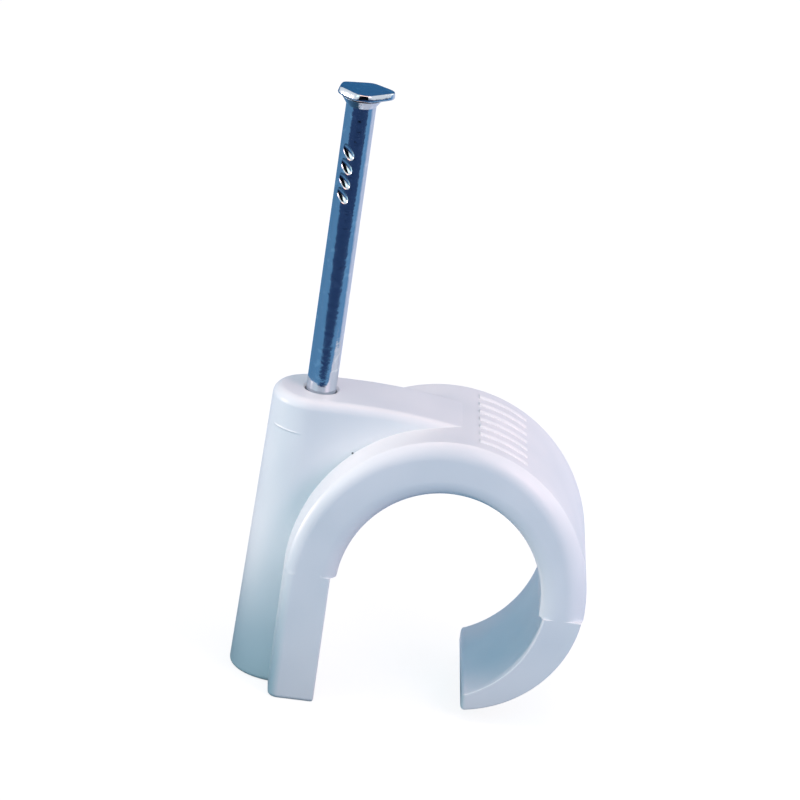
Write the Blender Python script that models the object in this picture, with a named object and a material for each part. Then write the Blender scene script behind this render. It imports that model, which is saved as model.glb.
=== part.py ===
"""Nail-in clip for a round cable: one moulded body and its nail.

The wall is the plane z = 0 and the nail points down into it, so +Z is up the nail.
The origin is on the nail's axis in the wall plane. +X runs from the nail across the
cable channel to the hook, and the cable lies along Y.
"""

import math

import bmesh
import bpy

MM = 0.001

# Cable channel: a straight leg on one side, a hook on the other, an arch over both
CHANNEL_WIDTH = 20.0 * MM       # leg face to hook face, below the parting lines
LEG_WALL = 4.25 * MM            # thickness of the leg
HOOK_WALL = 3.75 * MM           # thickness of the hook where it leaves the arch
CROWN_WALL = 4.8 * MM           # thickness at the top of the arch
BAND_WIDTH = 16.0 * MM          # length of the channel along the cable
RING_HEIGHT = 12.95 * MM        # wall plane to the centre of the arch's inner round
SHOULDER_HEIGHT = 12.0 * MM     # wall plane to where the arch's outer curve leaves the leg
LAND_STEP = 0.65 * MM           # how far the arch's inner face stands in from the leg's and hook's

# Parting lines, where the rounded upper half meets the square-edged lower half
LEG_PARTING = 12.55 * MM        # height on the leg
HOOK_PARTING = 11.1 * MM        # height on the hook
PARTING_RUN = 0.05 * MM         # height in which the step runs out

# Hook
TIP_REACH = 13.55 * MM          # leg face to the hook's tip
TIP_RISE = 1.15 * MM            # wall plane to the underside of the tip
TIP_WALL = 1.6 * MM             # thickness of the tip
HOOK_STEP = 0.2 * MM            # how far the hook's outer face stands in from the arch's
HOOK_OUTER_RADIUS = 11.5 * MM
HOOK_INNER_RADIUS = 10.6 * MM

# Boss round the nail, and the rib that carries it into the crown
LEG_OFFSET = 1.35 * MM          # nail axis to the leg's outer face
BOSS_WIDTH = 7.6 * MM           # along the cable, at the top
BOSS_NOSE = 4.35 * MM           # nail axis to the boss's rounded nose, at the top
BOSS_RISE = 0.95 * MM           # boss top above the crown of the arch
RIB_FLAT = 3.0 * MM             # nail axis to where the rib's top starts to fall
RIB_REACH = 14.0 * MM           # nail axis to where the rib has sunk into the crown
RIB_SINK = 0.15 * MM            # how far the rib's end lies under the crown
DRAFT = math.radians(1.2)       # taper of the boss's sides

# Edges
ROUND = 0.95 * MM               # rolled outer edges of the arch, the leg and the boss top
LAND_ROUND = 1.2 * MM           # rolled edges of the arch's inner face
SHARP = 0.15 * MM               # edges of the lower half
FOOT_ROUND = 0.4 * MM           # ends of the leg, the hook and the boss

# Nail
NAIL_DIAMETER = 2.8 * MM
NAIL_LENGTH = 40.0 * MM         # top of the head to the point
NAIL_CLEARANCE = 0.3 * MM       # radial gap to the bore
NAIL_ENTRY = 10.35 * MM         # how far the nail is started into the boss
HEAD_REACH = 2.6 * MM           # centre of the head to its farthest side
HEAD_SHIFT = 0.27 * MM          # the head is pressed a little off the shank's axis
HEAD_THICKNESS = 0.7 * MM
HEAD_EDGE = 0.15 * MM           # rounding of the head's rim
HEAD_SIDES = (                  # angle of each side of the pressed head, and its share of the reach
    (0, 1.0), (46, 0.85), (108, 0.78), (176, 1.0), (226, 0.88), (293, 0.74),
)
HEAD_BLUNT = 9                  # how sharply the sides of the head meet
NECK_HEIGHT = 0.8 * MM          # cone under the head
NECK_SPREAD = 0.5 * MM          # how far the cone stands out from the shank
POINT_LENGTH = 3.6 * MM         # four-sided point
POINT_BLUNT = 0.15 * MM         # half the width of its blunt end
GRIP_TOP = 6.4 * MM             # top of the head to the first gripper mark
GRIP_PITCH = 1.55 * MM
GRIP_COUNT = 4
GRIP_DEPTH = 0.18 * MM
GRIP_WIDTH = 0.9 * MM
GRIP_SLANT = 1.6 * MM           # fall of a mark for each radian round the shank
GRIP_ANGLES = (math.radians(243), math.radians(43))
GRIP_SPAN = math.radians(50)    # half the arc that a mark covers

# Fineness of the curves
ARCH_STEPS = 38
HOOK_STEPS = 22
CORNER_STEPS = 4
NOSE_STEPS = 15
SIDE_STEPS = 10
NAIL_SIDES = 32

# Sizes that follow from those above
LEG_OUT = -LEG_OFFSET
LEG_IN = LEG_OUT + LEG_WALL
HOOK_IN = LEG_IN + CHANNEL_WIDTH
HOOK_OUT = HOOK_IN + HOOK_WALL
RING_X = (LEG_IN + HOOK_IN) / 2
LAND_RADIUS = CHANNEL_WIDTH / 2 - LAND_STEP
CROWN_TOP = RING_HEIGHT + LAND_RADIUS + CROWN_WALL
BOSS_TOP = CROWN_TOP + BOSS_RISE
TIP_X = LEG_IN + TIP_REACH
NAIL_RADIUS = NAIL_DIAMETER / 2
BORE_RADIUS = NAIL_RADIUS + NAIL_CLEARANCE
NAIL_TIP = BOSS_TOP - NAIL_ENTRY
NAIL_TOP = NAIL_TIP + NAIL_LENGTH


def blend(a, b, t):
    """The value a share t of the way from a to b."""
    return a + (b - a) * t


def steps(start, end, count):
    """Evenly spaced values from start to end, both ends included."""
    return [blend(start, end, i / count) for i in range(count + 1)]


def arc_between(start, end, radius, count):
    """Points (x, z) of an arc whose centre lies to the right of the way from start to end."""
    (x0, z0), (x1, z1) = start, end
    half = math.hypot(x1 - x0, z1 - z0) / 2
    away = math.sqrt(radius * radius - half * half)
    centre_x = (x0 + x1) / 2 + (z1 - z0) / (2 * half) * away
    centre_z = (z0 + z1) / 2 - (x1 - x0) / (2 * half) * away
    first = math.atan2(z0 - centre_z, x0 - centre_x)
    last = math.atan2(z1 - centre_z, x1 - centre_x)
    return [
        (centre_x + radius * math.cos(a), centre_z + radius * math.sin(a))
        for a in steps(first, last, count)
    ]


def quarter_round(radius, count):
    """Pairs (inset, height) of a rounded end, from its flat face up to the full section."""
    return [
        (radius * (1 - math.sin(a)), radius * (1 - math.cos(a)))
        for a in steps(0, math.pi / 2, count)
    ]


def loft(name, rings):
    """Closed solid through rings of points that are mirror images about y = 0."""
    bm = bmesh.new()
    loops = [[bm.verts.new(point) for point in ring] for ring in rings]
    size = len(loops[0])
    for lower, upper in zip(loops, loops[1:]):
        for i in range(size):
            j = (i + 1) % size
            bm.faces.new((lower[i], lower[j], upper[j], upper[i]))
    for loop in (loops[0], loops[-1]):
        for i in range(size // 2 - 1):
            bm.faces.new((loop[i], loop[i + 1], loop[size - 2 - i], loop[size - 1 - i]))
    bmesh.ops.recalc_face_normals(bm, faces=bm.faces)
    mesh = bpy.data.meshes.new(name)
    bm.to_mesh(mesh)
    bm.free()
    obj = bpy.data.objects.new(name, mesh)
    bpy.context.scene.collection.objects.link(obj)
    return obj


def band_section(inner, outer, inner_round, outer_round, inset=0.0):
    """Ring round one section of the band, from its inner point (x, z) to its outer one."""
    length = math.hypot(outer[0] - inner[0], outer[1] - inner[1])
    along_x = (outer[0] - inner[0]) / length
    along_z = (outer[1] - inner[1]) / length
    half = BAND_WIDTH / 2 - inset
    r_in = max(inner_round - inset, SHARP / 3)
    r_out = max(outer_round - inset, SHARP / 3)
    corners = [
        (inset + r_in, r_in - half, r_in, math.pi),
        (length - inset - r_out, r_out - half, r_out, 1.5 * math.pi),
        (length - inset - r_out, half - r_out, r_out, 0.0),
        (inset + r_in, half - r_in, r_in, 0.5 * math.pi),
    ]
    ring = []
    for s, y, radius, start in corners:
        for a in steps(start, start + math.pi / 2, CORNER_STEPS):
            reach = s + radius * math.cos(a)
            side = y + radius * math.sin(a)
            ring.append((inner[0] + along_x * reach, side, inner[1] + along_z * reach))
    return ring


def arch_inner(angle):
    """Inner face of the arch: a half circle that runs straight down at both ends."""
    over = max(angle - math.pi, -angle, 0.0)
    x = RING_X + LAND_RADIUS * math.cos(min(max(angle, 0.0), math.pi))
    z = RING_HEIGHT + LAND_RADIUS * math.sin(min(max(angle, 0.0), math.pi))
    return x, z - LAND_RADIUS * over


def arch_outer(angle):
    """Outer face of the arch: half an ellipse that stands on the shoulders."""
    half_span = (HOOK_OUT - LEG_OUT) / 2
    x = (HOOK_OUT + LEG_OUT) / 2 + half_span * math.cos(angle)
    return x, SHOULDER_HEIGHT + (CROWN_TOP - SHOULDER_HEIGHT) * math.sin(angle)


def band_sections():
    """Rings of the band, from the foot of the leg over the arch to the hook's tip."""
    rings = []
    for inset, z in quarter_round(FOOT_ROUND, CORNER_STEPS):
        rings.append(band_section((LEG_IN, z), (LEG_OUT, z), SHARP, ROUND, inset))

    rise = CROWN_TOP - SHOULDER_HEIGHT
    outer_start = math.pi - math.asin((LEG_PARTING - SHOULDER_HEIGHT) / rise)
    outer_end = math.asin((HOOK_PARTING - SHOULDER_HEIGHT) / rise)
    inner_start = math.pi + (RING_HEIGHT - LEG_PARTING) / LAND_RADIUS
    inner_end = -(RING_HEIGHT - HOOK_PARTING) / LAND_RADIUS

    leg_out = arch_outer(outer_start)[0]
    below = LEG_PARTING - PARTING_RUN
    rings.append(band_section((LEG_IN, below), (leg_out, below), SHARP, ROUND))
    inner_angles = steps(inner_start, inner_end, ARCH_STEPS)
    outer_angles = steps(outer_start, outer_end, ARCH_STEPS)
    for a, b in zip(inner_angles, outer_angles):
        rings.append(band_section(arch_inner(a), arch_outer(b), LAND_ROUND, ROUND))

    below = HOOK_PARTING - PARTING_RUN
    hook_out = arch_outer(outer_end)[0] - HOOK_STEP
    tip_start = TIP_X + FOOT_ROUND
    inner_arc = arc_between(
        (HOOK_IN, below), (tip_start, TIP_RISE + TIP_WALL), HOOK_INNER_RADIUS, HOOK_STEPS)
    outer_arc = arc_between(
        (hook_out, below), (tip_start, TIP_RISE), HOOK_OUTER_RADIUS, HOOK_STEPS)
    for inner, outer in zip(inner_arc, outer_arc):
        rings.append(band_section(inner, outer, SHARP, SHARP))
    for inset, back in reversed(quarter_round(FOOT_ROUND, CORNER_STEPS)[:-1]):
        x = TIP_X + back
        rings.append(band_section(
            (x, TIP_RISE + TIP_WALL), (x, TIP_RISE), SHARP, SHARP, inset))
    return rings


def rib_top(x):
    """Height of the rib's top: flat round the nail, then falling into the crown."""
    share = max(x - RIB_FLAT, 0.0) / (RIB_REACH - RIB_FLAT)
    return BOSS_TOP - (BOSS_RISE + RIB_SINK) * share * share


def rib_end(z):
    """Where the rib ends inside the leg's and the arch's wall, at height z."""
    middle = LAND_RADIUS + CROWN_WALL / 2
    rise = max(z - RING_HEIGHT, 0.0)
    if rise >= middle:
        return RIB_REACH
    return min(RING_X - math.sqrt(middle * middle - rise * rise), RIB_REACH)


def boss_section(z, inset):
    """Ring round the boss and its rib at height z: two straight sides and a round nose."""
    widening = (BOSS_TOP - z) * math.tan(DRAFT)
    half = BOSS_WIDTH / 2 + widening - inset
    nose = inset - BOSS_NOSE - widening
    end = rib_end(z)
    outline = [(x, -half) for x in steps(end, nose + half, SIDE_STEPS)[:-1]]
    for a in steps(1.5 * math.pi, 0.5 * math.pi, NOSE_STEPS):
        outline.append((nose + half + half * math.cos(a), half * math.sin(a)))
    outline += [(x, half) for x in steps(nose + half, end, SIDE_STEPS)[1:]]
    return [(x, y, z * rib_top(x) / BOSS_TOP) for x, y in outline]


def boss_sections():
    """Rings of the boss and its rib, from the wall plane to the rolled top edge."""
    rings = [boss_section(z, inset) for inset, z in quarter_round(FOOT_ROUND, CORNER_STEPS)]
    middle = LAND_RADIUS + CROWN_WALL / 2
    rings.append(boss_section(RING_HEIGHT, 0.0))
    for a in steps(0, math.pi / 2, 8)[1:]:
        rings.append(boss_section(RING_HEIGHT + middle * math.sin(a), 0.0))
    for inset, drop in reversed(quarter_round(ROUND, CORNER_STEPS + 1)):
        rings.append(boss_section(BOSS_TOP - drop, inset))
    return rings


def cutter(obj):
    """Mark a form that only shapes the moulding, so that it isn't a piece of its own."""
    obj.hide_render = True
    obj.display_type = "WIRE"


def boolean(obj, tool, operation):
    """Join or cut an object with a form that stays hidden."""
    modifier = obj.modifiers.new(tool.name, "BOOLEAN")
    modifier.operation = operation
    modifier.solver = "EXACT"
    modifier.object = tool
    cutter(tool)


def bore_form():
    """Round form that cuts the nail's bore right through the boss."""
    over = ROUND
    rings = []
    for z in (-over, BOSS_TOP + over):
        angles = [(i + 0.5) * 2 * math.pi / NAIL_SIDES for i in range(NAIL_SIDES)]
        rings.append([(BORE_RADIUS * math.cos(a), BORE_RADIUS * math.sin(a), z) for a in angles])
    return loft("bore_form", rings)


def grip_groove(angle, z):
    """Depth of the gripper marks under the head: slanting notches on two flanks."""
    depth = 0.0
    for middle in GRIP_ANGLES:
        turn = (angle - middle + math.pi) % (2 * math.pi) - math.pi
        if abs(turn) >= GRIP_SPAN:
            continue
        fade = math.cos(turn / GRIP_SPAN * math.pi / 2)
        for i in range(GRIP_COUNT):
            centre = NAIL_TOP - GRIP_TOP - i * GRIP_PITCH - turn * GRIP_SLANT
            share = max(1 - abs(z - centre) / (GRIP_WIDTH / 2), 0.0)
            depth = max(depth, GRIP_DEPTH * fade * share)
    return depth


def nail_ring(z, radius_at, shift=0.0):
    """Ring of the nail at height z, with a radius for each angle, moved along X by a shift."""
    ring = []
    for i in range(NAIL_SIDES):
        a = (i + 0.5) * 2 * math.pi / NAIL_SIDES
        radius = radius_at(a, z)
        ring.append((shift + radius * math.cos(a), radius * math.sin(a), z))
    return ring


def point_radius(angle, z):
    """The four-sided point: a square that grows until it leaves the round wire."""
    side = blend(POINT_BLUNT, NAIL_RADIUS, (z - NAIL_TIP) / POINT_LENGTH)
    return min(NAIL_RADIUS, side / max(abs(math.cos(angle)), abs(math.sin(angle))))


def shank_radius(angle, z):
    """The round shank, less the gripper marks."""
    return NAIL_RADIUS - grip_groove(angle, z)


def neck_radius(angle, z):
    """The cone that carries the shank into the head."""
    return NAIL_RADIUS + NECK_SPREAD


def head_radius(inset):
    """Outline of the head, drawn in by an inset: uneven flat sides with blunted corners."""
    def radius_at(angle, z):
        total = 0.0
        for degrees, share in HEAD_SIDES:
            facing = max(math.cos(angle - math.radians(degrees)), 0.0)
            total += (facing / (HEAD_REACH * share - inset)) ** HEAD_BLUNT
        return total ** (-1 / HEAD_BLUNT)
    return radius_at


def nail_rings():
    """Rings of the nail, from its point to the top of its head."""
    rings = [nail_ring(z, point_radius) for z in steps(NAIL_TIP, NAIL_TIP + POINT_LENGTH, 8)]
    marks = (GRIP_COUNT - 1) * GRIP_PITCH
    reach = GRIP_SPAN * GRIP_SLANT + GRIP_WIDTH / 2
    top = NAIL_TOP - GRIP_TOP + reach
    bottom = NAIL_TOP - GRIP_TOP - marks - reach
    count = round((top - bottom) / (GRIP_WIDTH / 4))
    rings += [nail_ring(z, shank_radius) for z in steps(bottom, top, count)]

    under = NAIL_TOP - HEAD_THICKNESS
    rings.append(nail_ring(under - NECK_HEIGHT, shank_radius))
    rings.append(nail_ring(under, neck_radius, HEAD_SHIFT / 2))
    for inset, rise in quarter_round(HEAD_EDGE, 2):
        rings.append(nail_ring(under + rise + HEAD_EDGE / 2, head_radius(inset), HEAD_SHIFT))
    for inset, drop in reversed(quarter_round(HEAD_EDGE, 2)):
        rings.append(nail_ring(NAIL_TOP - drop, head_radius(inset), HEAD_SHIFT))
    return rings


def finish(obj, material_name, color, roughness, metallic):
    """Smooth shading and one plain material."""
    material = bpy.data.materials.new(material_name)
    material.use_nodes = True
    shader = material.node_tree.nodes["Principled BSDF"]
    shader.inputs["Base Color"].default_value = (*color, 1.0)
    shader.inputs["Roughness"].default_value = roughness
    shader.inputs["Metallic"].default_value = metallic
    obj.data.materials.append(material)
    obj.data.shade_smooth()
    obj.data.set_sharp_from_angle(angle=math.radians(35))


def main():
    for obj in list(bpy.data.objects):
        bpy.data.objects.remove(obj)

    clip = loft("clip_body", band_sections())
    boolean(clip, loft("boss_form", boss_sections()), "UNION")
    boolean(clip, bore_form(), "DIFFERENCE")
    finish(clip, "moulded_plastic", (0.80, 0.82, 0.85), 0.38, 0.0)

    nail = loft("nail", nail_rings())
    finish(nail, "zinc_plated_steel", (0.55, 0.58, 0.62), 0.22, 1.0)


main()
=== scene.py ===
# %% [markdown]
# # A nail-in clip for a round cable
#
# A white moulded clip holds a cable against the wall, and one zinc-plated nail holds the
# clip. The nail is already started in the boss, the way such clips come out of the box.
# This lesson builds the two finished pieces round a CAD frame: the moulding from sections
# that are computed and skinned, the nail from rings, and what repeats on them (raised
# bars, gripper marks) with Geometry Nodes.

# %% Load the frame
import math

import bmesh
import bpy
from mathutils import Matrix, Vector
from mathutils.bvhtree import BVHTree
from mathutils.interpolate import poly_3d_calc


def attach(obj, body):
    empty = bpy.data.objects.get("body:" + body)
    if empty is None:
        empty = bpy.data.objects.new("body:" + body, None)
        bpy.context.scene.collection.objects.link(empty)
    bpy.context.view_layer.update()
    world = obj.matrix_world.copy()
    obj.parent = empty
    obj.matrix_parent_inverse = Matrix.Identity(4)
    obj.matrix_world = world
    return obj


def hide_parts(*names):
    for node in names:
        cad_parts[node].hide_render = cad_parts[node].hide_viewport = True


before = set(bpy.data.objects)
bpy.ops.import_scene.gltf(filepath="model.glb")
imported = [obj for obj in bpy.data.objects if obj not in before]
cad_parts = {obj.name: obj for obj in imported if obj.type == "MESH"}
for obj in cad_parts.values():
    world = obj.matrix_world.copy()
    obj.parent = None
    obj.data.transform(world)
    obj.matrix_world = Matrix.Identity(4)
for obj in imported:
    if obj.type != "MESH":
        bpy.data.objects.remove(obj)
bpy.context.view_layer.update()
MM = 0.001

# %% [markdown]
# ## The camera
#
# The photograph looks down on the clip by 22 degrees, from far away with a long lens, and
# the clip leans to the right in it. Here the clip stays upright, so the camera leans
# instead. One could aim a camera by eye with a Track To constraint. Building its matrix
# from the measured values is exact, and any of them can be changed alone.

# %% Camera
VIEW_DOWN = 22.0            # degrees below the horizon
VIEW_LEAN = 7.6             # degrees that the picture leans to the right
DISTANCE = 1200.0 * MM      # from the foot of the nail to the lens
PIXELS_PER_MM = 10.764      # at the foot of the nail
PICTURE = 800               # pixels
FOOT_AT = (282.1, 665.1)    # where the nail's axis meets the wall plane, in pixels
SENSOR = 36.0               # width of a full-frame sensor in mm

camera_data = bpy.data.cameras.new("camera")
camera_data.sensor_width = SENSOR
camera_data.lens = PIXELS_PER_MM * DISTANCE / MM * SENSOR / PICTURE
camera_data.clip_start = 0.05
camera_data.clip_end = 20.0
camera = bpy.data.objects.new("camera", camera_data)
bpy.context.scene.collection.objects.link(camera)
turn = Matrix.Rotation(math.radians(-VIEW_LEAN), 4, "Y")
turn = turn @ Matrix.Rotation(math.radians(90 - VIEW_DOWN), 4, "X")
off_centre = [(PICTURE / 2 - p) / PIXELS_PER_MM * MM for p in FOOT_AT]
camera.matrix_world = turn @ Matrix.Translation((off_centre[0], -off_centre[1], DISTANCE))
bpy.context.scene.camera = camera
print("lens:", round(camera_data.lens), "mm")

# %% [markdown]
# ## Helpers
#
# Colours are easiest to note as sRGB hex values, as a colour picker shows them, but
# shaders work in linear light, so one function converts. Another adds a node with its
# settings and links. It serves shader trees and geometry trees alike.

# %% Colour and node helpers
def linear(hex_value):
    """Linear RGBA from an sRGB hex value such as "#E4E8F0"."""
    channels = [int(hex_value[i:i + 2], 16) / 255 for i in (1, 3, 5)]
    bent = [c / 12.92 if c <= 0.04045 else ((c + 0.055) / 1.055) ** 2.4 for c in channels]
    return (*bent, 1.0)


def add(tree, kind, inputs=None, **settings):
    """Adds a node. Inputs go by name or number; a socket is linked, a value is set."""
    node = tree.nodes.new(kind)
    for key, value in settings.items():
        setattr(node, key, value)
    for key, value in (inputs or {}).items():
        if isinstance(value, bpy.types.NodeSocket):
            tree.links.new(value, node.inputs[key])
        else:
            node.inputs[key].default_value = value
    return node


def new_material(name):
    """A material with an empty tree and its output node."""
    material = bpy.data.materials.new(name)
    material.use_nodes = True
    material.node_tree.nodes.clear()
    return material, material.node_tree, add(material.node_tree, "ShaderNodeOutputMaterial")


WHITE = linear("#FFFFFF")
print("white as linear:", [round(c, 3) for c in WHITE])

# %% [markdown]
# ## Moulded polypropylene
#
# The clip is injection-moulded in white polypropylene. The tool's surface was
# spark-eroded, so the plastic has a very fine, even grain under a soft sheen. Polypropylene
# lets a little light in, which softens its shadows. A bump map alone would look like
# painted metal. A trace of subsurface scattering gives the milky depth of the real thing.

# %% Patterns in the plastic
GRAIN = 0.35 * MM           # the real grain is about 0.05 mm: drawn coarse enough to show
SINK = 7.0 * MM             # slow waves where thick plastic shrank as it cooled
SPECK = 0.26 * MM           # a burnt fleck that came through the nozzle with the shot
SPECK_AT = (3.51 * MM, -3.9 * MM, 23.53 * MM)

plastic, tree, output = new_material("polypropylene_white_moulded")
place = add(tree, "ShaderNodeTexCoord").outputs["Object"]
grain = add(tree, "ShaderNodeTexNoise", {
    "Vector": place, "Scale": 1 / GRAIN, "Detail": 2.0, "Roughness": 0.6}).outputs["Fac"]
waves = add(tree, "ShaderNodeTexNoise", {
    "Vector": place, "Scale": 1 / SINK, "Detail": 1.0}).outputs["Fac"]
apart = add(tree, "ShaderNodeVectorMath", {0: place, 1: SPECK_AT}, operation="DISTANCE")
burnt = add(tree, "ShaderNodeMapRange", {
    "Value": apart.outputs["Value"], "From Min": SPECK / 4, "From Max": SPECK / 2,
    "To Min": 0.12})
print("grain drawn", round(GRAIN / MM, 2), "mm wide")

# %% The plastic itself
tone = add(tree, "ShaderNodeValToRGB", {"Fac": waves})
tone.color_ramp.elements[0].position = 0.35
tone.color_ramp.elements[0].color = linear("#E1E8EC")
tone.color_ramp.elements[1].position = 0.7
tone.color_ramp.elements[1].color = linear("#EAEFF2")
color = add(tree, "ShaderNodeVectorMath", {
    0: tone.outputs["Color"], "Scale": burnt.outputs["Result"]}, operation="SCALE")
sheen = add(tree, "ShaderNodeMapRange", {"Value": grain, "To Min": 0.34, "To Max": 0.46})
slow = add(tree, "ShaderNodeBump", {
    "Height": waves, "Strength": 0.25, "Distance": 0.25 * MM})
fine = add(tree, "ShaderNodeBump", {
    "Height": grain, "Normal": slow.outputs["Normal"],
    "Strength": 0.18, "Distance": 0.02 * MM})
shader = add(tree, "ShaderNodeBsdfPrincipled", {
    "Base Color": color.outputs["Vector"], "Roughness": sheen.outputs["Result"],
    "Normal": fine.outputs["Normal"], "IOR": 1.49,
    "Subsurface Weight": 0.12, "Subsurface Radius": (1.0, 1.0, 1.0),
    "Subsurface Scale": 0.5 * MM})
tree.links.new(shader.outputs["BSDF"], output.inputs["Surface"])
print("made", plastic.name)

# %% [markdown]
# ## Zinc-plated steel wire
#
# The nail is drawn steel wire, barrel-plated with bright zinc and given a clear blue
# passivation. Drawing leaves fine streaks along the wire, and tumbling in the barrel
# leaves small scuffs all over. A metal has no colour of its own apart from its reflection,
# so the blue of the passivation is the base colour, and the streaks are bump and roughness.

# %% Patterns on the zinc
STREAK = 0.3 * MM           # width of a drawing streak, drawn coarser than the real 0.05 mm
STRETCH = (1.0, 1.0, 0.03)  # draws the streaks out along the wire
SCUFF = 0.8 * MM            # spacing of the scuffs from tumbling

zinc, tree, output = new_material("zinc_plated_drawn_wire")
place = add(tree, "ShaderNodeTexCoord").outputs["Object"]
along = add(tree, "ShaderNodeMapping", {"Vector": place, "Scale": STRETCH})
streaks = add(tree, "ShaderNodeTexNoise", {
    "Vector": along.outputs["Vector"], "Scale": 1 / STREAK,
    "Detail": 1.0, "Roughness": 0.5}).outputs["Fac"]
scuffs = add(tree, "ShaderNodeTexNoise", {
    "Vector": place, "Scale": 1 / SCUFF, "Detail": 2.0, "Roughness": 0.5}).outputs["Fac"]
print("scuffs", round(SCUFF / MM, 2), "mm apart")

# %% The zinc itself
scuffed = add(tree, "ShaderNodeMapRange", {"Value": scuffs, "From Min": 0.6, "From Max": 0.7})
tint = add(tree, "ShaderNodeValToRGB", {"Fac": scuffed.outputs["Result"]})
tint.color_ramp.elements[0].color = linear("#C6D1DC")
tint.color_ramp.elements[1].color = linear("#DCE3E9")
dull = add(tree, "ShaderNodeMapRange", {"Value": streaks, "To Min": 0.06, "To Max": 0.18})
ridges = add(tree, "ShaderNodeBump", {
    "Height": streaks, "Strength": 0.5, "Distance": 0.02 * MM})
dents = add(tree, "ShaderNodeBump", {
    "Height": scuffs, "Normal": ridges.outputs["Normal"],
    "Strength": 0.4, "Distance": 0.06 * MM})
shader = add(tree, "ShaderNodeBsdfPrincipled", {
    "Base Color": tint.outputs["Color"], "Roughness": dull.outputs["Result"],
    "Normal": dents.outputs["Normal"], "Metallic": 1.0})
tree.links.new(shader.outputs["BSDF"], output.inputs["Surface"])
print("made", zinc.name)

# %% [markdown]
# ## Skinning sections
#
# Both pieces are stacks of rings: the same number of points in each, joined ring to ring.
# A sweep modifier along a curve would keep one section all the way. Rings computed one by
# one can change their width, wall and edge rounding on the way, as this clip does.

# %% Values along a way
def blend(a, b, t):
    """The value a share t of the way from a to b."""
    return a + (b - a) * t


def steps(start, end, count):
    """Evenly spaced values from start to end, both ends included."""
    return [blend(start, end, i / count) for i in range(count + 1)]


def rolled_end(radius, count):
    """Pairs (inset, height) of a rounded end, from its flat face up to the full section."""
    turns = steps(0, math.pi / 2, count)
    return [(radius * (1 - math.sin(a)), radius * (1 - math.cos(a))) for a in turns]


print("four steps from 0 to 1:", steps(0, 1, 4))

# %% From rings to a piece
CREASE = 32.0               # degrees between two faces past which their edge stays sharp


def show(obj):
    """Links an object into the scene."""
    bpy.context.scene.collection.objects.link(obj)
    return obj


def skin(name, rings):
    """Closed solid through rings of points in mm that pair up across y = 0."""
    bm = bmesh.new()
    loops = [[bm.verts.new([c * MM for c in point]) for point in ring] for ring in rings]
    size = len(loops[0])
    for lower, upper in zip(loops, loops[1:]):
        for i in range(size):
            j = (i + 1) % size
            bm.faces.new((lower[i], lower[j], upper[j], upper[i]))
    for loop in (loops[0], loops[-1]):
        for i in range(size // 2 - 1):
            bm.faces.new((loop[i], loop[i + 1], loop[size - 2 - i], loop[size - 1 - i]))
    bmesh.ops.recalc_face_normals(bm, faces=bm.faces)
    mesh = bpy.data.meshes.new(name)
    bm.to_mesh(mesh)
    bm.free()
    print(name, "is skinned over", len(rings), "rings")
    return show(bpy.data.objects.new(name, mesh))


def freeze(obj, name, material, sharp=CREASE):
    """Turns an object with live modifiers into a plain, smooth-shaded mesh of its own."""
    evaluated = obj.evaluated_get(bpy.context.evaluated_depsgraph_get())
    mesh = bpy.data.meshes.new_from_object(evaluated)
    bpy.data.objects.remove(obj)
    mesh.name = name
    mesh.materials.clear()
    mesh.materials.append(material)
    mesh.shade_smooth()
    mesh.set_sharp_from_angle(angle=math.radians(sharp))
    print(name, "has", len(mesh.vertices), "points and", len(mesh.polygons), "faces")
    return show(bpy.data.objects.new(name, mesh))


# %% [markdown]
# ## The band
#
# One strip of plastic is the leg, the arch and the hook. The arch's inner and outer faces
# are two half ellipses, and the outer one rises more, so the wall is thickest at the crown,
# where the clip must not give. The hook tapers to its tip so that it does give when the
# cable is pushed in. Above the parting line of the mould the edges are soft: the outer ones
# roll over in a wide curve that ends in a small one, which a Bevel modifier with one radius
# can't do. Below the line the leg keeps a plain round on its outer edges, and the other
# edges are sharp, as that half of the mould was left square.

# %% Sizes of the band, in mm
LEG_OUT, LEG_IN = -1.35, 2.9
HOOK_IN, HOOK_OUT = 22.9, 26.65
HALF_WIDTH = 8.0
RING_X, RING_Z = 12.95, 11.8            # centre of the inner half ellipse
LAND, LAND_WIDE = 10.2, 9.5             # its reach upwards and sideways
SHOULDER, CROWN = 12.0, 27.1            # foot and top of the outer half ellipse
LEG_PARTING, HOOK_PARTING = 12.55, 11.1  # heights of the mould's parting line
PARTING_RUN = 0.05                      # drop over which the section changes there
TIP_X, TIP_RISE, TIP_WALL = 16.45, 1.15, 1.6
HOOK_STEP, HOOK_OUTER, HOOK_INNER = 0.2, 11.5, 10.6
ROUND, SHARP, FOOT_ROUND = 0.95, 0.12, 0.4
ROLL_LEG = (1.25, 0.2, 55)              # outer corner of the arch where it leaves the leg
ROLL_HOOK = (2.3, 0.2, 55)              # and where it reaches the hook
ROLL_LAND = (2.6, 0.95, 24)             # inner corner of the arch
ROLL_GROWS = math.radians(140)          # the part of the arch over which the roll grows
ARCH_STEPS, HOOK_STEPS, CORNER_STEPS = 110, 60, 7
print("channel", HOOK_IN - LEG_IN, "mm wide")


# %% Sections of the band
def corner(wide, narrow, tilt):
    """A rolled corner as (in from the face, in from the side) pairs, from side to face.

    A wide arc leaves the side and turns up to the tilt, and a narrow one turns the rest."""
    def arc_point(radius, degrees):
        a = math.radians(degrees)
        return Vector((radius * math.sin(a), radius * (1 - math.cos(a))))

    points = [arc_point(wide, d) for d in steps(0, tilt, CORNER_STEPS)]
    shift = arc_point(wide - narrow, tilt)
    points += [shift + arc_point(narrow, d) for d in steps(tilt, 90, CORNER_STEPS)[1:]]
    return [(points[-1].x - point.x, point.y) for point in points]


def plain(radius, inset=0.0):
    """Radii and tilt of a corner with one radius, smaller where the section is inset."""
    radius = max(radius - inset, SHARP / 3)
    return radius, radius, 45


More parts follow.
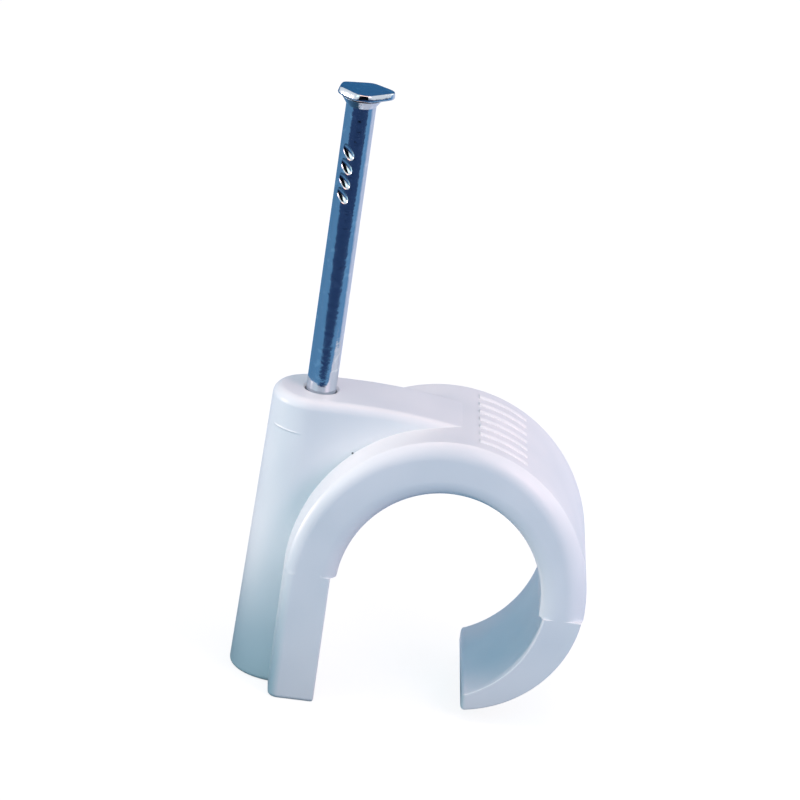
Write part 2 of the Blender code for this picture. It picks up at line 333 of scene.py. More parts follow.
def band_section(inner, outer, inner_roll, outer_roll, inset=0.0):
    """Ring round one section of the band, from its inner point (x, z) to its outer one."""
    length = math.dist(inner, outer)
    along = ((outer[0] - inner[0]) / length, (outer[1] - inner[1]) / length)
    half = HALF_WIDTH - inset
    near, far = corner(*inner_roll), corner(*outer_roll)
    ring = [(inset + x, y - half) for x, y in reversed(near)]
    ring += [(length - inset - x, y - half) for x, y in far]
    ring += [(length - inset - x, half - y) for x, y in reversed(far)]
    ring += [(inset + x, half - y) for x, y in near]
    return [(inner[0] + along[0] * s, y, inner[1] + along[1] * s) for s, y in ring]


print("a section has", 4 * len(corner(*ROLL_LEG)), "points")


# %% Lines that the band follows
def arch_inner(angle):
    """Inner face of the arch: half an ellipse that runs straight down at both ends."""
    past = max(angle - math.pi, -angle, 0.0)
    held = min(max(angle, 0.0), math.pi)
    return (RING_X + LAND_WIDE * math.cos(held), RING_Z + LAND * (math.sin(held) - past))


def arch_outer(angle):
    """Outer face of the arch: half an ellipse that stands on the shoulders."""
    middle, half = (HOOK_OUT + LEG_OUT) / 2, (HOOK_OUT - LEG_OUT) / 2
    return (middle + half * math.cos(angle), SHOULDER + (CROWN - SHOULDER) * math.sin(angle))


def arc(start, end, radius, count):
    """Points of an arc whose centre lies to the right of the way from start to end."""
    half = math.dist(start, end) / 2
    away = math.sqrt(radius ** 2 - half ** 2) / (2 * half)
    centre_x = (start[0] + end[0]) / 2 + (end[1] - start[1]) * away
    centre_z = (start[1] + end[1]) / 2 - (end[0] - start[0]) * away
    first = math.atan2(start[1] - centre_z, start[0] - centre_x)
    last = math.atan2(end[1] - centre_z, end[0] - centre_x)
    turns = steps(first, last, count)
    return [(centre_x + radius * math.cos(a), centre_z + radius * math.sin(a)) for a in turns]


top_wall = arch_outer(math.pi / 2)[1] - arch_inner(math.pi / 2)[1]
print("wall at the crown", round(top_wall, 2), "mm")

# %% Leg
outer_start = math.pi - math.asin((LEG_PARTING - SHOULDER) / (CROWN - SHOULDER))
inner_start = math.pi + (RING_Z - LEG_PARTING) / LAND
leg_top = LEG_PARTING - PARTING_RUN

rings = []
for inset, z in rolled_end(FOOT_ROUND, CORNER_STEPS):
    rings.append(band_section((LEG_IN, z), (LEG_OUT, z),
                              plain(SHARP, inset), plain(ROUND, inset), inset))
rings.append(band_section((LEG_IN, leg_top), (arch_outer(outer_start)[0], leg_top),
                          plain(SHARP), plain(ROUND)))
print("leg", leg_top, "mm long")

# %% Arch
outer_end = math.asin((HOOK_PARTING - SHOULDER) / (CROWN - SHOULDER))
inner_end = -(RING_Z - HOOK_PARTING) / LAND

for a, b in zip(steps(inner_start, inner_end, ARCH_STEPS),
                steps(outer_start, outer_end, ARCH_STEPS)):
    share = min((math.pi - b) / ROLL_GROWS, 1.0)
    roll = [blend(leg, hook, share) for leg, hook in zip(ROLL_LEG, ROLL_HOOK)]
    rings.append(band_section(arch_inner(a), arch_outer(b), ROLL_LAND, roll))
print("the arch turns through", round(math.degrees(outer_start - outer_end)), "degrees")

# %% Hook
hook_top = HOOK_PARTING - PARTING_RUN
tip_start = TIP_X + FOOT_ROUND
hook_out = arch_outer(outer_end)[0] - HOOK_STEP
inner_arc = arc((HOOK_IN, hook_top), (tip_start, TIP_RISE + TIP_WALL), HOOK_INNER, HOOK_STEPS)
outer_arc = arc((hook_out, hook_top), (tip_start, TIP_RISE), HOOK_OUTER, HOOK_STEPS)

for inner, outer in zip(inner_arc, outer_arc):
    rings.append(band_section(inner, outer, plain(SHARP), plain(SHARP)))
for inset, back in reversed(rolled_end(FOOT_ROUND, CORNER_STEPS)[:-1]):
    x = TIP_X + back
    rings.append(band_section((x, TIP_RISE + TIP_WALL), (x, TIP_RISE),
                              plain(SHARP, inset), plain(SHARP, inset), inset))
band = skin("band", rings)

# %% [markdown]
# ## The boss and its rib
#
# The nail runs down a column with a rounded nose, and a rib carries the column into the
# crown, so a hammer blow on the nail doesn't crack the arch. Its sides taper by a little
# over a degree, or the moulding would stick in the tool. Near the top a short raised line
# runs round the nose where two parts of the mould met. A cube with bevels could make most
# of this. Level rings also give the taper, the falling rib and that line.

# %% Sizes of the boss, in mm
BOSS_TOP, BOSS_HALF, BOSS_NOSE = 28.05, 3.8, 4.35
RIB_FLAT, RIB_REACH, RIB_SINK = 3.0, 14.0, 0.15
MID_ARCH = (LAND + CROWN - RING_Z) / 2  # a circle of this radius runs inside the arch's wall
DRAFT = math.tan(math.radians(1.2))
NOSE_STEPS, SIDE_STEPS, RIB_STEPS, TOP_STEPS = 47, 16, 12, 10
SEAM_Z, SEAM_HEIGHT, SEAM_WIDTH = 24.75, 0.07, 0.3
SEAM_FROM, SEAM_TO, SEAM_FADE = 206, 258, 8     # degrees round the nose
print("boss", 2 * BOSS_HALF, "mm wide at the top")


# %% Sections of the boss
def rib_top(x):
    """Height of the rib's top: flat round the nail, then falling into the crown."""
    share = max(x - RIB_FLAT, 0.0) / (RIB_REACH - RIB_FLAT)
    return BOSS_TOP - (BOSS_TOP - CROWN + RIB_SINK) * share ** 2


def rib_end(z):
    """Where the rib ends inside the leg's and the arch's wall, at height z."""
    up = max(z - RING_Z, 0.0)
    if up >= MID_ARCH:
        return RIB_REACH
    return min(RING_X - math.sqrt(MID_ARCH ** 2 - up ** 2), RIB_REACH)


def seam(degrees, z):
    """How far the mould's seam stands out of the nose, fading at its ends."""
    ends = min(degrees - SEAM_FROM, SEAM_TO - degrees) / SEAM_FADE
    side = 1 - abs(z - SEAM_Z) / (SEAM_WIDTH / 2)
    return SEAM_HEIGHT * min(max(ends, 0.0), 1.0) * max(side, 0.0)


def boss_section(z, inset=0.0):
    """Ring round the boss and its rib at height z: two straight sides and a round nose."""
    widening = (BOSS_TOP - z) * DRAFT
    half = BOSS_HALF + widening - inset
    nose = inset - BOSS_NOSE - widening
    end = rib_end(z)
    outline = [(x, -half) for x in steps(end, nose + half, SIDE_STEPS)[:-1]]
    for degrees in steps(270, 90, NOSE_STEPS):
        radius = half + seam(degrees, z)
        a = math.radians(degrees)
        outline.append((nose + half + radius * math.cos(a), radius * math.sin(a)))
    outline += [(x, half) for x in steps(nose + half, end, SIDE_STEPS)[1:]]
    return [(x, y, z * rib_top(x) / BOSS_TOP) for x, y in outline]


print("the rib falls", round(BOSS_TOP - rib_top(RIB_REACH), 2), "mm to the crown")

# %% Skin the boss
levels = [RING_Z + MID_ARCH * math.sin(a) for a in steps(0, math.pi / 2, RIB_STEPS)]
levels += [SEAM_Z + SEAM_WIDTH * t for t in steps(-0.5, 0.5, 4)]
rings = [boss_section(z, inset) for inset, z in rolled_end(FOOT_ROUND, CORNER_STEPS)]
rings += [boss_section(z) for z in sorted(levels)]
for inset, drop in reversed(rolled_end(ROUND, TOP_STEPS)):
    rings.append(boss_section(BOSS_TOP - drop, inset))
boss = skin("boss", rings)

# %% [markdown]
# ## Join them and cut the bore
#
# In the mould, the band and the boss are one cavity, and a steel pin leaves the bore. A
# boolean union and a boolean difference say just that. The exact solver keeps the crisp
# line where the boss meets the arch, which a voxel remesh would wash out. But it cuts faces
# into slivers, and slivers shade in zigzags. So every face corner borrows the normal that
# the uncut surface has at that place. A Data Transfer modifier can do this too, but it
# can't tell the two sides of a sharp edge apart.

# %% Normals for a cut mesh
FLAT_WEIGHT = 60            # above 50, a large face counts for more than a small one
IN_CORNER = 0.98            # almost from a face's middle to its corner, clear of the edges


def even(obj):
    """Weights an object's normals by face area, so flats stay flat beside rolled edges."""
    obj.data.shade_smooth()
    obj.data.set_sharp_from_angle(angle=math.radians(CREASE))
    weighted = obj.modifiers.new("weighted", "WEIGHTED_NORMAL")
    weighted.keep_sharp = True
    weighted.weight = FLAT_WEIGHT
    evaluated = obj.evaluated_get(bpy.context.evaluated_depsgraph_get())
    obj.data = bpy.data.meshes.new_from_object(evaluated)
    obj.modifiers.clear()


def borrow_normals(mesh, uncut):
    """Gives each face corner the normal of the uncut object whose surface it lies on."""
    sources = []
    for obj in uncut:
        obj.data.calc_loop_triangles()
        points = [v.co.copy() for v in obj.data.vertices]
        triangles = [t.vertices[:] for t in obj.data.loop_triangles]
        normals = [[obj.data.corner_normals[i].vector.copy() for i in t.loops]
                   for t in obj.data.loop_triangles]
        surface = BVHTree.FromPolygons(points, triangles)
        sources.append((surface, points, triangles, normals))
    borrowed = []
    for face in mesh.polygons:
        middle = face.center
        surface, points, triangles, normals = min(
            sources, key=lambda source: source[0].find_nearest(middle)[3])
        for index in face.vertices:
            spot = middle.lerp(mesh.vertices[index].co, IN_CORNER)
            place, _, nearest, _ = surface.find_nearest(spot)
            shares = poly_3d_calc([points[i] for i in triangles[nearest]], place)
            normal = sum((n * w for n, w in zip(normals[nearest], shares)), Vector())
            borrowed.append(-normal if normal.dot(face.normal) < 0 else normal)
    mesh.normals_split_custom_set([n.normalized() for n in borrowed])
    print(len(borrowed), "normals borrowed")


# %% Cutter for the bore, in mm
BORE, BORE_SIDES, BORE_START = 1.5, 64, -1.0    # it starts below the wall plane
LEAD_DEPTH, LEAD_ABOVE = 0.2, 0.6               # a 45 degree lead-in, cut from above the top

bore_rings = []
for z, radius in ((BORE_START, BORE), (BOSS_TOP - LEAD_DEPTH, BORE),
                  (BOSS_TOP + LEAD_ABOVE, BORE + (LEAD_DEPTH + LEAD_ABOVE))):
    turns = [(i + 0.5) * 2 * math.pi / BORE_SIDES for i in range(BORE_SIDES)]
    bore_rings.append([(radius * math.cos(a), radius * math.sin(a), z) for a in turns])
bore = skin("bore", bore_rings)

# %% One moulding
for part in (band, boss, bore):
    even(part)
joined = show(bpy.data.objects.new("joined", band.data.copy()))
for tool, operation in ((boss, "UNION"), (bore, "DIFFERENCE")):
    joint = joined.modifiers.new(tool.name, "BOOLEAN")
    joint.object = tool
    joint.operation = operation
    joint.solver = "EXACT"
moulding = freeze(joined, "clip_moulding", plastic)
borrow_normals(moulding.data, (band, boss, bore))
check = bmesh.new()
check.from_mesh(moulding.data)
print("edges that don't join two faces:", sum(not edge.is_manifold for edge in check.edges))
check.free()
for tool in (band, boss, bore):
    bpy.data.objects.remove(tool)
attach(moulding, "root")
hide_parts("clip_body")

# %% [markdown]
# ## Raised bars on the arch
#
# The arch carries a short row of raised bars beside the crown. They repeat and they follow
# a curved surface, so Geometry Nodes make them: one bar is a curve with a rounded profile,
# a row of points repeats it, and a raycast drops every point of the row onto the moulding.
# Modelling each bar by hand would take longer and would have to be redone whenever the arch
# changes.

# %% Helpers for the trees
def named_inputs(tree, solid, sizes, result):
    """Names a tree's inputs (a solid and its sizes) and its output, and gives the inputs."""
    interface = tree.interface
    interface.new_socket(solid, in_out="INPUT", socket_type="NodeSocketGeometry")
    for name, (kind, _) in sizes.items():
        interface.new_socket(name, in_out="INPUT", socket_type=kind)
    interface.new_socket(result, in_out="OUTPUT", socket_type="NodeSocketGeometry")
    return add(tree, "NodeGroupInput").outputs


def grow(mesh, name, tree, sizes):
    """An object with a Geometry Nodes modifier on a mesh, its inputs set by identifier."""
    obj = show(bpy.data.objects.new(name, mesh))
    modifier = obj.modifiers.new(name, "NODES")
    modifier.node_group = tree
    for item in tree.interface.items_tree:
        if item.item_type == "SOCKET" and item.in_out == "INPUT" and item.name in sizes:
            modifier[item.identifier] = sizes[item.name][1]
    print(name, "has", len(tree.nodes), "nodes")
    return obj


# %% Inputs for the bars
BAR_SIZES = {
    "Count": ("NodeSocketInt", 7),
    "Pitch": ("NodeSocketFloat", 1.8 * MM),
    "Length": ("NodeSocketFloat", 4.6 * MM),
    "Width": ("NodeSocketFloat", 0.75 * MM),
    "Height": ("NodeSocketFloat", 0.2 * MM),
    "Middle": ("NodeSocketFloat", 17.2 * MM),       # of the row, along X
    "Above": ("NodeSocketFloat", 40.0 * MM),        # height that the rays start from
    "Plastic": ("NodeSocketMaterial", plastic),
}
BAR_STEPS, BAR_SIDES = 40, 20
END_POWER, END_SIZE = 8.0, 0.02         # the bar stays full, then closes fast to a small end

bars_tree = bpy.data.node_groups.new("raised_bars", "GeometryNodeTree")
given = named_inputs(bars_tree, "Moulding", BAR_SIZES, "Bars")
print("bars", round(BAR_SIZES["Height"][1] / MM, 2), "mm high")

# %% A line that closes at its ends
half_length = add(bars_tree, "ShaderNodeMath", {0: given["Length"], 1: 0.5},
                  operation="MULTIPLY").outputs[0]
low_x = add(bars_tree, "ShaderNodeMath", {0: given["Middle"], 1: half_length},
            operation="SUBTRACT").outputs[0]
high_x = add(bars_tree, "ShaderNodeMath", {0: given["Middle"], 1: half_length},
             operation="ADD").outputs[0]
start = add(bars_tree, "ShaderNodeCombineXYZ", {"X": low_x}).outputs[0]
end = add(bars_tree, "ShaderNodeCombineXYZ", {"X": high_x}).outputs[0]
line = add(bars_tree, "GeometryNodeCurvePrimitiveLine", {"Start": start, "End": end})
line = add(bars_tree, "GeometryNodeResampleCurve", {
    "Curve": line.outputs[0], "Count": BAR_STEPS})
along = add(bars_tree, "GeometryNodeSplineParameter").outputs["Factor"]
signed = add(bars_tree, "ShaderNodeMath", {0: along, 1: 2.0, 2: -1.0},
             operation="MULTIPLY_ADD").outputs[0]
from_middle = add(bars_tree, "ShaderNodeMath", {0: signed}, operation="ABSOLUTE").outputs[0]
closing = add(bars_tree, "ShaderNodeMath", {0: from_middle, 1: END_POWER},
              operation="POWER").outputs[0]
taper = add(bars_tree, "ShaderNodeMath", {0: 1.0 + END_SIZE, 1: closing},
            operation="SUBTRACT").outputs[0]
line = add(bars_tree, "GeometryNodeSetCurveRadius", {
    "Curve": line.outputs[0], "Radius": taper})
print("half its width or more over", round(0.5 ** (1 / END_POWER), 2), "of its length")

# %% One bar round it
half_width = add(bars_tree, "ShaderNodeMath", {0: given["Width"], 1: 0.5},
                 operation="MULTIPLY").outputs[0]
flatten = add(bars_tree, "ShaderNodeCombineXYZ", {
    "X": half_width, "Y": given["Height"], "Z": 1.0}).outputs[0]
profile = add(bars_tree, "GeometryNodeCurvePrimitiveCircle", {
    "Resolution": BAR_SIDES, "Radius": 1.0})
profile = add(bars_tree, "GeometryNodeTransform", {
    "Geometry": profile.outputs[0], "Scale": flatten})
bar = add(bars_tree, "GeometryNodeCurveToMesh", {
    "Curve": line.outputs[0], "Profile Curve": profile.outputs[0], "Fill Caps": True})
print("a bar has", BAR_STEPS * BAR_SIDES, "points")

# %% A row of bars, dropped onto the arch
gaps = add(bars_tree, "ShaderNodeMath", {0: given["Count"], 1: -1.0},
           operation="ADD").outputs[0]
row = add(bars_tree, "ShaderNodeMath", {0: gaps, 1: given["Pitch"]},
          operation="MULTIPLY").outputs[0]
first_y = add(bars_tree, "ShaderNodeMath", {0: row, 1: -0.5},
              operation="MULTIPLY").outputs[0]
first = add(bars_tree, "ShaderNodeCombineXYZ", {"Y": first_y}).outputs[0]
stride = add(bars_tree, "ShaderNodeCombineXYZ", {"Y": given["Pitch"]}).outputs[0]
places = add(bars_tree, "GeometryNodeMeshLine", {
    "Count": given["Count"], "Start Location": first, "Offset": stride})
bars = add(bars_tree, "GeometryNodeInstanceOnPoints", {
    "Points": places.outputs[0], "Instance": bar.outputs[0]})
bars = add(bars_tree, "GeometryNodeRealizeInstances", {"Geometry": bars.outputs[0]})
here = add(bars_tree, "GeometryNodeInputPosition").outputs[0]
here = add(bars_tree, "ShaderNodeSeparateXYZ", {0: here}).outputs
above = add(bars_tree, "ShaderNodeCombineXYZ", {
    "X": here["X"], "Y": here["Y"], "Z": given["Above"]}).outputs[0]
hit = add(bars_tree, "GeometryNodeRaycast", {
    "Target Geometry": given["Moulding"], "Source Position": above,
    "Ray Direction": (0.0, 0.0, -1.0), "Ray Length": 1.0}).outputs["Hit Position"]
ground = add(bars_tree, "ShaderNodeSeparateXYZ", {0: hit}).outputs["Z"]
lift = add(bars_tree, "ShaderNodeCombineXYZ", {"Z": ground}).outputs[0]
bars = add(bars_tree, "GeometryNodeSetPosition", {"Geometry": bars.outputs[0], "Offset": lift})
bars = add(bars_tree, "GeometryNodeSetMaterial", {
    "Geometry": bars.outputs[0], "Material": given["Plastic"]})
add(bars_tree, "NodeGroupOutput", {0: bars.outputs[0]})

bars = freeze(grow(moulding.data.copy(), "bars", bars_tree, BAR_SIZES), "raised_bars", plastic)
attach(bars, "root")

# %% [markdown]
# ## The nail
#
# A nail starts as wire. The machine grips it, upsets one end into a head against a die, and
# cuts the other end to a four-sided point. So the head is never quite round nor quite
# centred, and it flows into the shank through a short cone. The rings below follow that:
# square near the point, round along the shank, seven uneven sides at the head. A Screw
# modifier would make the shank, but neither the point nor the head.

# %% Sizes of the nail, in mm
WIRE = 1.4
POINT_Z, NAIL_TOP = 17.7, 57.7
POINT_LENGTH, POINT_BLUNT = 3.6, 0.15
HEAD_SHIFT, HEAD_THICK, HEAD_EDGE, HEAD_ROLL, HEAD_BLUNT = 0.25, 0.7, 0.24, 0.1, 14
HEAD_SIDES = (                  # faces (degrees), reach at the underside, reach at the top
    (0, 2.75, 2.7), (54, 2.1, 1.95), (100, 1.95, 1.75), (167, 2.6, 2.4),
    (224, 2.05, 1.8), (267, 1.95, 1.9), (305, 1.85, 1.72))
NECK_HEIGHT, NECK_SPREAD = 0.8, 0.53
SHANK_START = POINT_Z + POINT_LENGTH + 0.5
SHANK_END = NAIL_TOP - HEAD_THICK - NECK_HEIGHT
NAIL_SIDES, POINT_STEPS, SHANK_STEPS = 96, 24, 60
NECK_STEPS, EDGE_STEPS, ROLL_STEPS = 6, 4, 8
print("nail", NAIL_TOP - POINT_Z, "mm long")


# %% Rings of the nail
def nail_ring(z, radius_at, shift=0.0):
    """Ring at height z with a radius for each angle, moved along X by a shift."""
    ring = []
    for i in range(NAIL_SIDES):
        a = (i + 0.5) * 2 * math.pi / NAIL_SIDES
        ring.append((shift + radius_at(a) * math.cos(a), radius_at(a) * math.sin(a), z))
    return ring


def point(share):
    """The point at a share of its length: a square that grows until it leaves the wire."""
    side = blend(POINT_BLUNT, WIRE, share)
    return lambda a: min(WIRE, side / max(abs(math.cos(a)), abs(math.sin(a))))


def wire(radius):
    """The drawn wire and its neck are round."""
    return lambda a: radius


def head(up, inset):
    """Outline of the head a share up its edge: uneven sides with blunted corners."""
    def radius_at(angle):
        total = 0.0
        for degrees, low, high in HEAD_SIDES:
            facing = max(math.cos(angle - math.radians(degrees)), 0.0)
            total += (facing / (blend(low, high, up) - inset)) ** HEAD_BLUNT
        return total ** (-1 / HEAD_BLUNT)
    return radius_at


print("head reaches", round(HEAD_SHIFT + head(0, 0)(0), 2), "mm towards the hook")

# %% Skin the nail
rings = [nail_ring(POINT_Z + POINT_LENGTH * s, point(s)) for s in steps(0, 1, POINT_STEPS)]
rings += [nail_ring(z, wire(WIRE)) for z in steps(SHANK_START, SHANK_END, SHANK_STEPS)]
for share in steps(0, 1, NECK_STEPS)[1:]:
    rings.append(nail_ring(SHANK_END + NECK_HEIGHT * share, wire(WIRE + NECK_SPREAD * share)))
for inset, up in rolled_end(HEAD_EDGE, EDGE_STEPS):
    z = NAIL_TOP - HEAD_THICK + up
    rings.append(nail_ring(z, head(up / HEAD_THICK, inset), HEAD_SHIFT))
for inset, drop in reversed(rolled_end(HEAD_ROLL, ROLL_STEPS)):
    rings.append(nail_ring(NAIL_TOP - drop, head(1 - drop / HEAD_THICK, inset), HEAD_SHIFT))
blank = skin("nail_blank", rings)

# %% [markdown]
# ## Gripper marks
#
# Under the head, the jaws that held the wire have bitten a few slanting notches into two
# flanks. They repeat at an even pitch, so Geometry Nodes place them: a line of points down
# the nail, a rounded cutter on each, the row turned to each jaw's side, and one boolean
# that takes them all out of the blank. A bump map would not break the nail's outline.

# %% Inputs for the marks
MARK_SIZES = {
    "Count": ("NodeSocketInt", 4),
    "Pitch": ("NodeSocketFloat", 1.43 * MM),
    "First": ("NodeSocketFloat", (NAIL_TOP - 5.85) * MM),   # height of the highest mark
    "Wire radius": ("NodeSocketFloat", WIRE * MM),
    "Depth": ("NodeSocketFloat", 0.3 * MM),
    "Cutter": ("NodeSocketVector", (0.5 * MM, 0.55 * MM, 1.05 * MM)),
    "Slant": ("NodeSocketFloat", math.radians(42)),
    "Jaw": ("NodeSocketFloat", math.radians(243)),
    "Other jaw": ("NodeSocketFloat", math.radians(63)),
    "Zinc": ("NodeSocketMaterial", zinc),
}
CUTTER_SEGMENTS, CUTTER_RINGS = 24, 16

marks_tree = bpy.data.node_groups.new("gripper_marks", "GeometryNodeTree")
given = named_inputs(marks_tree, "Blank", MARK_SIZES, "Nail")
print("marks", round(MARK_SIZES["Depth"][1] / MM, 2), "mm deep")

# %% A row of cutters
ball = add(marks_tree, "GeometryNodeMeshUVSphere", {
    "Segments": CUTTER_SEGMENTS, "Rings": CUTTER_RINGS, "Radius": 1.0})
ball = add(marks_tree, "GeometryNodeTransform", {
    "Geometry": ball.outputs[0], "Scale": given["Cutter"]})
size = add(marks_tree, "ShaderNodeSeparateXYZ", {0: given["Cutter"]}).outputs
touching = add(marks_tree, "ShaderNodeMath", {0: given["Wire radius"], 1: size["X"]},
               operation="ADD").outputs[0]
out = add(marks_tree, "ShaderNodeMath", {0: touching, 1: given["Depth"]},
          operation="SUBTRACT").outputs[0]
first = add(marks_tree, "ShaderNodeCombineXYZ", {"X": out, "Z": given["First"]}).outputs[0]
down = add(marks_tree, "ShaderNodeMath", {0: given["Pitch"], 1: -1.0},
           operation="MULTIPLY").outputs[0]
down = add(marks_tree, "ShaderNodeCombineXYZ", {"Z": down}).outputs[0]
places = add(marks_tree, "GeometryNodeMeshLine", {
    "Count": given["Count"], "Start Location": first, "Offset": down})
slant = add(marks_tree, "ShaderNodeCombineXYZ", {"X": given["Slant"]}).outputs[0]
row = add(marks_tree, "GeometryNodeInstanceOnPoints", {
    "Points": places.outputs[0], "Instance": ball.outputs[0], "Rotation": slant})
row = add(marks_tree, "GeometryNodeRealizeInstances", {"Geometry": row.outputs[0]})
print("a row has", MARK_SIZES["Count"][1], "cutters")

# %% Cut both rows
both = add(marks_tree, "GeometryNodeJoinGeometry")
for jaw in ("Jaw", "Other jaw"):
    about = add(marks_tree, "ShaderNodeCombineXYZ", {"Z": given[jaw]}).outputs[0]
    turned = add(marks_tree, "GeometryNodeTransform", {
        "Geometry": row.outputs[0], "Rotation": about})
    marks_tree.links.new(turned.outputs[0], both.inputs[0])
cut = add(marks_tree, "GeometryNodeMeshBoolean", {
    "Mesh 1": given["Blank"], "Mesh 2": both.outputs[0], "Self Intersection": True},
    operation="DIFFERENCE", solver="EXACT")
cut = add(marks_tree, "GeometryNodeSetMaterial", {
    "Geometry": cut.outputs["Mesh"], "Material": given["Zinc"]})
add(marks_tree, "NodeGroupOutput", {0: cut.outputs[0]})

marked = grow(blank.data.copy(), "marked", marks_tree, MARK_SIZES)
bpy.data.objects.remove(blank)
wire_nail = freeze(marked, "wire_nail", zinc, sharp=28.0)
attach(wire_nail, "root")
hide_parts("nail")

# %% [markdown]
# ## Floor and sweep
#
# In the photograph the clip stands on white, but its shadows and the nail's reflections are
# blue. So the set has two layers. The camera sees a white floor that catches a soft shadow.
# Everything else sees a blue sweep that starts just in front of the clip and rises behind
# it, paler to the back right and darker round the clip's foot, where painted shade stands
# in for the clip's shadow, then a dark room, and a black card that gives the nail its dark
# stripe. One could light it all with a white dome, but then the nail would have nothing to
# reflect and would look like plastic.

# %% Sizes of the set, in metres
FLOOR_HALF = 2.0
SWEEP_FRONT, SWEEP_BACK, SWEEP_TOP = -0.07, 0.5, 0.6
BEND, BEND_STEPS = 0.15, 16
SWEEP_HALF, SWEEP_UNDER = 0.6, 0.0002           # it lies just under the floor
ROOM_HALF, ROOM_LOW = 3.0, -0.4
CARD_Y, CARD_LOW, CARD_HIGH, CARD_HALF = -0.75, -0.2, 1.3, 0.4
PALE_WAY = (0.707, 0.707, 0.0)                  # to the back right
PALE_FROM, PALE_FULL = 0.7, 0.9                 # cosines of the angle from that way
# painted shade: the sweep's colour darkens round the clip's foot for its shadow, full within
# the first distance of the nail's foot and gone past the second
SHADE_FULL, SHADE_GONE = 0.02, 0.07             # distances from the nail's foot
print("the sweep rises", SWEEP_TOP, "m behind the clip")


# %% Stage pieces
def strip(name, profile, half_width, material):
    """A stage sheet along X: a profile of (y, z) points in metres, pulled out both ways."""
    points = [(x, y, z) for y, z in profile for x in (-half_width, half_width)]
    quads = [(2 * i, 2 * i + 1, 2 * i + 3, 2 * i + 2) for i in range(len(profile) - 1)]
    mesh = bpy.data.meshes.new(name)
    mesh.from_pydata(points, [], quads)
    mesh.materials.append(material)
    mesh.shade_smooth()
    obj = show(bpy.data.objects.new(name, mesh))
    print("stage:", name)
    return obj


def paper(name, dark, pale=None, shade=1.0):
    """Matt stage paper, pale in a sector to the back right, else dark, with painted shade near
    the clip.
    """
    material, tree, output = new_material(name)
    place = add(tree, "ShaderNodeTexCoord").outputs["Object"]
    way = add(tree, "ShaderNodeVectorMath", {0: place}, operation="NORMALIZE")
    facing = add(tree, "ShaderNodeVectorMath", {
        0: way.outputs["Vector"], 1: PALE_WAY}, operation="DOT_PRODUCT")
    share = add(tree, "ShaderNodeMapRange", {
        "Value": facing.outputs["Value"], "From Min": PALE_FROM, "From Max": PALE_FULL})
    run = add(tree, "ShaderNodeValToRGB", {"Fac": share.outputs["Result"]})
    run.color_ramp.elements[0].color = linear(dark)
    run.color_ramp.elements[1].color = linear(pale or dark)
    # painted shade: the dark paper is darkened near the clip, standing in for its shadow
    away = add(tree, "ShaderNodeVectorMath", {0: place}, operation="LENGTH")
    near = add(tree, "ShaderNodeMapRange", {
        "Value": away.outputs["Value"], "From Min": SHADE_FULL, "From Max": SHADE_GONE,
        "To Min": shade})
    near = add(tree, "ShaderNodeMath", {
        0: near.outputs["Result"], 1: share.outputs["Result"]}, operation="MAXIMUM")
    color = add(tree, "ShaderNodeVectorMath", {
        0: run.outputs["Color"], "Scale": near.outputs["Value"]}, operation="SCALE")
    matt = add(tree, "ShaderNodeBsdfDiffuse", {"Color": color.outputs["Vector"]})
    tree.links.new(matt.outputs[0], output.inputs["Surface"])
    return material


# %% Floor that the camera sees
white, tree, output = new_material("floor_white_paper")
matt = add(tree, "ShaderNodeBsdfDiffuse", {"Color": linear("#8A8A8A")})
glow = add(tree, "ShaderNodeEmission", {"Color": WHITE, "Strength": 0.84})
both = add(tree, "ShaderNodeAddShader", {0: matt.outputs[0], 1: glow.outputs[0]})
tree.links.new(both.outputs[0], output.inputs["Surface"])
floor = strip("floor", [(-FLOOR_HALF, 0.0), (FLOOR_HALF, 0.0)], FLOOR_HALF, white)
for ray in ("visible_diffuse", "visible_glossy", "visible_transmission", "visible_shadow"):
    setattr(floor, ray, False)

# %% Sweep, wall, room and card that light the clip
profile = [(SWEEP_FRONT, -SWEEP_UNDER)]
for a in steps(0, math.pi / 2, BEND_STEPS):
    profile.append((SWEEP_BACK - BEND + BEND * math.sin(a),
                    BEND - BEND * math.cos(a) - SWEEP_UNDER))
sweep = strip("sweep", profile, SWEEP_HALF,
              paper("sweep_blue_paper", "#6EA4C8", "#EAF4FF", shade=0.3))
wall = strip("wall", [profile[-1], (SWEEP_BACK, SWEEP_TOP)], SWEEP_HALF,
             paper("wall_blue_paper", "#4A88B2"))
room = strip("room", [(-ROOM_HALF, ROOM_LOW), (SWEEP_BACK, ROOM_LOW)], ROOM_HALF,
             paper("room_dark_carpet", "#4A5A80"))
card = strip("card", [(CARD_Y, CARD_LOW), (CARD_Y, CARD_HIGH)], CARD_HALF,
             paper("card_black_felt", "#101418"))
card.visible_diffuse = False
for obj in (sweep, wall, room, card):
    obj.visible_camera = False
    obj.visible_shadow = obj is not card

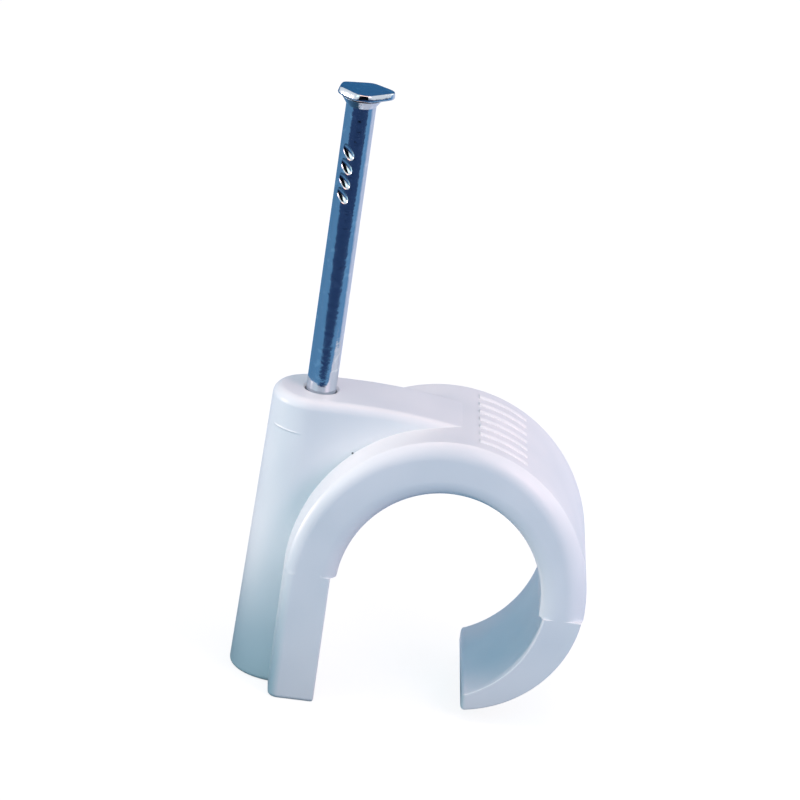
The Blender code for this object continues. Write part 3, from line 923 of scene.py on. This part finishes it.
# %% World
world = bpy.data.worlds.new("studio")
bpy.context.scene.world = world
world.use_nodes = True
tree = world.node_tree
tree.nodes.clear()
rays = add(tree, "ShaderNodeLightPath").outputs
clear = add(tree, "ShaderNodeMath", {0: rays["Is Camera Ray"], 1: rays["Is Glossy Ray"]},
            operation="MAXIMUM")
clear = add(tree, "ShaderNodeMath", {0: clear.outputs[0], 1: rays["Is Transmission Ray"]},
            operation="MAXIMUM")
ambient = add(tree, "ShaderNodeBackground", {"Color": linear("#AACBDD"), "Strength": 1.0})
backdrop = add(tree, "ShaderNodeBackground", {"Color": WHITE, "Strength": 1.0})
seen = add(tree, "ShaderNodeMixShader", {
    0: clear.outputs[0], 1: ambient.outputs[0], 2: backdrop.outputs[0]})
add(tree, "ShaderNodeOutputWorld", {"Surface": seen.outputs[0]})
bpy.context.scene.view_settings.view_transform = "Standard"
print("world:", world.name)

# %% [markdown]
# ## Lamps
#
# A warm lamp overhead and a stronger one at the front right shape the clip, and two weak
# ones at the right and the front left fill its shadows. A narrow beam from the left is
# aimed above the clip. It lights the nail and the top of the boss fully and fades towards
# the foot, which an area lamp can't do.

# %% Lamps
HEART = (0.011, 0.0, 0.02)              # middle of the clip, in metres
BEAM_AIM = (-0.004, 0.0, 0.075)         # above the boss
BEAM_WIDTH, BEAM_BLEND = 17.3, 0.28     # degrees, and the soft share of its edge


def lamp(name, kind, place, power, size, color, aim=HEART):
    """A soft light at a place, turned towards a point, all in metres."""
    data = bpy.data.lights.new(name, kind)
    data.energy = power
    data.color = linear(color)[:3]
    if kind == "AREA":
        data.size = size
    else:
        data.shadow_soft_size = size
    obj = show(bpy.data.objects.new(name, data))
    obj.location = place
    obj.rotation_euler = (Vector(aim) - Vector(place)).to_track_quat("-Z", "Y").to_euler()
    print("lamp:", name, power, "W")
    return data


lamp("overhead", "AREA", (0.0, 0.0, 0.55), 0.86, 0.3, "#FFA97C")
lamp("front_right", "AREA", (0.33, -0.33, 0.27), 1.3, 0.2, "#FFD1D2")
lamp("right", "AREA", (0.5, 0.0, 0.2), 0.25, 0.2, "#FFFDFF")
lamp("front_left", "AREA", (-0.35, -0.35, 0.2), 0.27, 0.2, "#C8FFF3")
beam = lamp("left_spot", "SPOT", (-0.48, -0.03, 0.05), 6.0, 0.006, "#FFE2D9", aim=BEAM_AIM)
beam.spot_size = math.radians(BEAM_WIDTH)
beam.spot_blend = BEAM_BLEND
